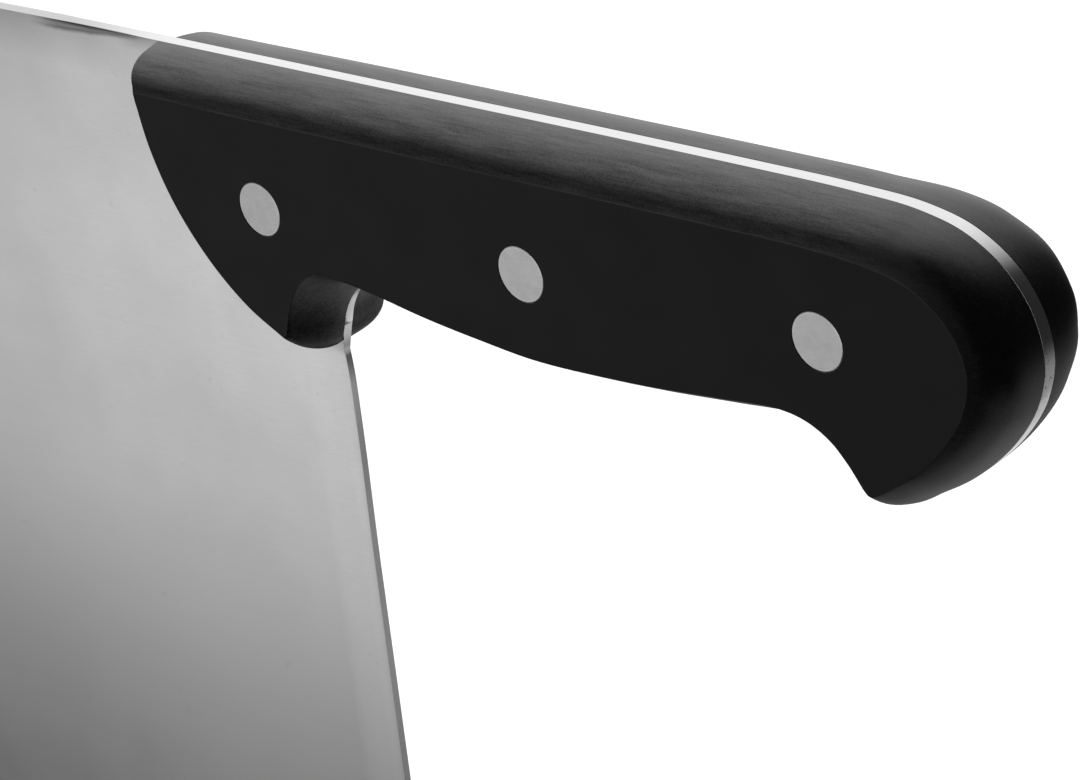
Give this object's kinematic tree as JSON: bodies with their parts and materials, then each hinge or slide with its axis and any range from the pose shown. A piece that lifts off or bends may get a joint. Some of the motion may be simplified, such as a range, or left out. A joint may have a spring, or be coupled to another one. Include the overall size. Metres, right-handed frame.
{
  "type": "meat cleaver",
  "caption": "Full-tang meat cleaver with a broad flat blade, rounded front corners, a contoured black plastic grip in two halves and flush steel rivets.",
  "frame": {"origin": "bottom centre of the whole cleaver's bounding box: on the mid-plane of the blade, below the lowest point of the cutting edge", "axes": "+X from the blade's front towards the butt of the handle, +Z from the cutting edge towards the spine, the blade flat in the XZ plane"},
  "size_m": [0.342, 0.0186, 0.156],
  "materials": {
    "blade_steel": "fine satin polish",
    "handle_plastic": "milled flats, sanded edges",
    "rivet_steel": "ground flush with the handle"
  },
  "bodies": {
    "root": {"blade_and_tang": "blade_steel", "left_handle_scale": "handle_plastic", "right_handle_scale": "handle_plastic", "front_rivet_tube": "rivet_steel", "front_rivet_pin": "rivet_steel", "middle_rivet_tube": "rivet_steel", "middle_rivet_pin": "rivet_steel", "rear_rivet_tube": "rivet_steel", "rear_rivet_pin": "rivet_steel"}
  },
  "joints": []
}
